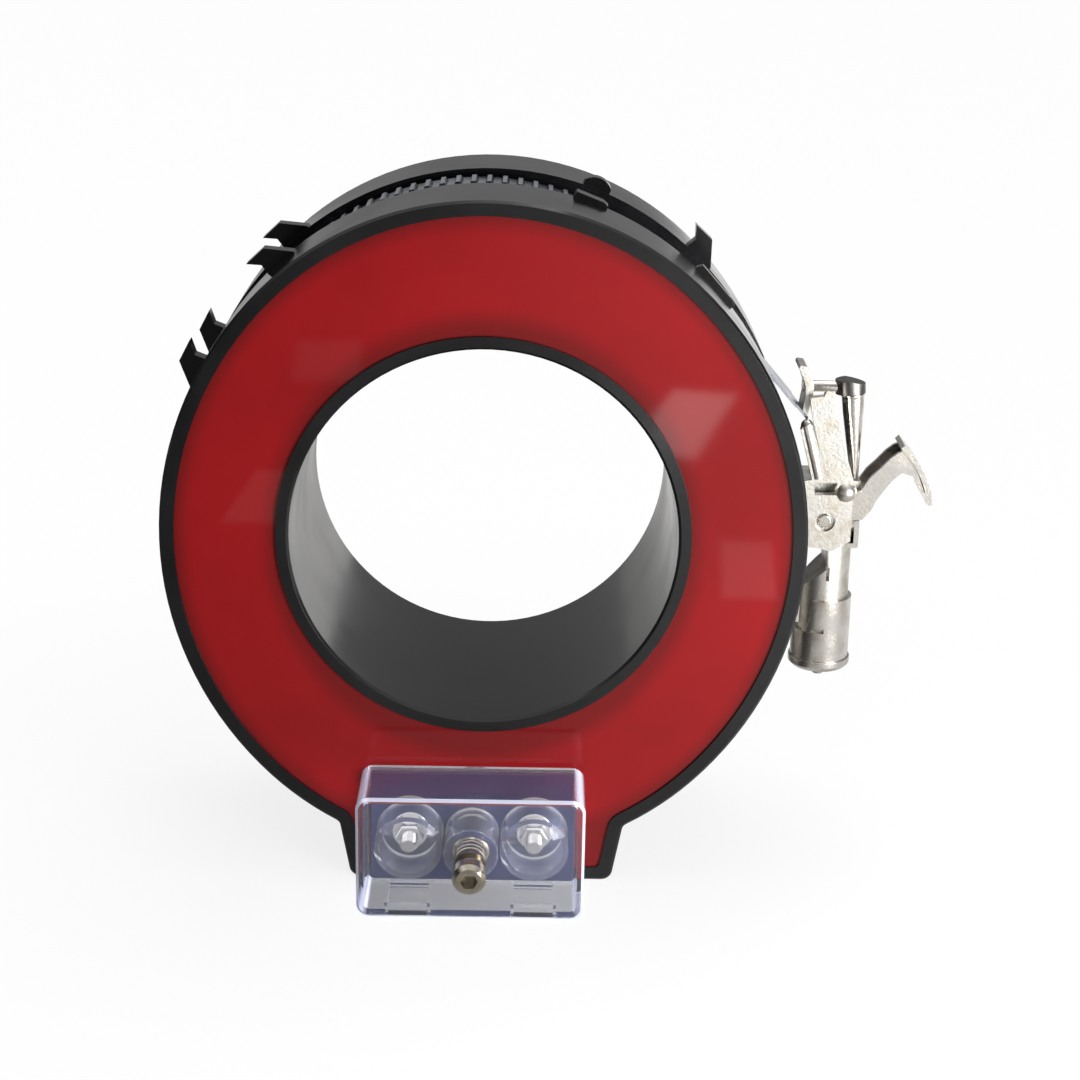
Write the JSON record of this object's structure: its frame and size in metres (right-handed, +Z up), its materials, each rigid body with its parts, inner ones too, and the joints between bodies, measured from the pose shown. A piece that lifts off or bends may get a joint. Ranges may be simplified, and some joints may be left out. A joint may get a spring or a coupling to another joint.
{
  "type": "current transformer",
  "caption": "Resin-filled ring current transformer on a base, with a clear cover over its terminals and a steel strap in a side groove, closed by a quick-release strap lock.",
  "frame": {"origin": "centre of the bore at mid depth", "axes": "+Y along the bore towards the plain rear face, terminals at -Y; +Z up from the base; strap lock at +X"},
  "size_m": [0.2442, 0.1259, 0.2207],
  "materials": {
    "case": "satin",
    "resin": "gloss",
    "core": "plain",
    "tape": "plain",
    "copper": "enamelled copper",
    "block": "gloss",
    "nickel": "nickel plated",
    "clear_shroud": "clear moulded",
    "clear_cover": "clear moulded",
    "stainless": "satin",
    "cast_nickel": "plated casting",
    "spring_steel": "plain",
    "gunmetal": "dark"
  },
  "bodies": {
    "transformer": {"case": "case", "resin_fill": "resin", "core": "core", "core_tape": "tape", "secondary_winding": "copper", "winding_lead_left": "copper", "winding_lead_right": "copper", "terminal_block": "block", "terminal_stud_left": "nickel", "terminal_stud_right": "nickel", "terminal_washer_left": "nickel", "terminal_washer_right": "nickel", "terminal_nut_left": "nickel", "terminal_nut_right": "nickel", "screw_insert": "nickel", "sealing_screw": "nickel", "spacer_bush": "nickel", "terminal_shroud": "clear_shroud", "terminal_cover": "clear_cover", "strap": "stainless", "hook_plate": "cast_nickel", "crossbar": "cast_nickel", "lock_body": "cast_nickel", "screw_housing": "cast_nickel", "drum_cup": "cast_nickel", "end_cap": "cast_nickel", "keeper_bracket": "cast_nickel", "pivot_pin": "cast_nickel", "spindle": "spring_steel", "draw_rod": "spring_steel", "draw_spring": "spring_steel", "lever_spring": "spring_steel", "trunnion_cap": "gunmetal"},
    "lever": {"release_lever": "cast_nickel"},
    "sleeve": {"tension_sleeve": "cast_nickel"}
  },
  "joints": [
    {"name": "lever_hinge", "type": "hinge", "parent": "transformer", "child": "lever", "pos_m": [0.10955, 0.001, -0.00405], "axis": [0, -1, 0], "range_deg": [0, 20], "stiffness_Nm_per_rad": 0.02, "springref_deg": -34.38},
    {"name": "sleeve_turn", "type": "hinge", "parent": "transformer", "child": "sleeve", "pos_m": [0.1172, 0.001, 0.0368], "axis": [-0.0767, 0, 0.9971], "continuous": true}
  ]
}
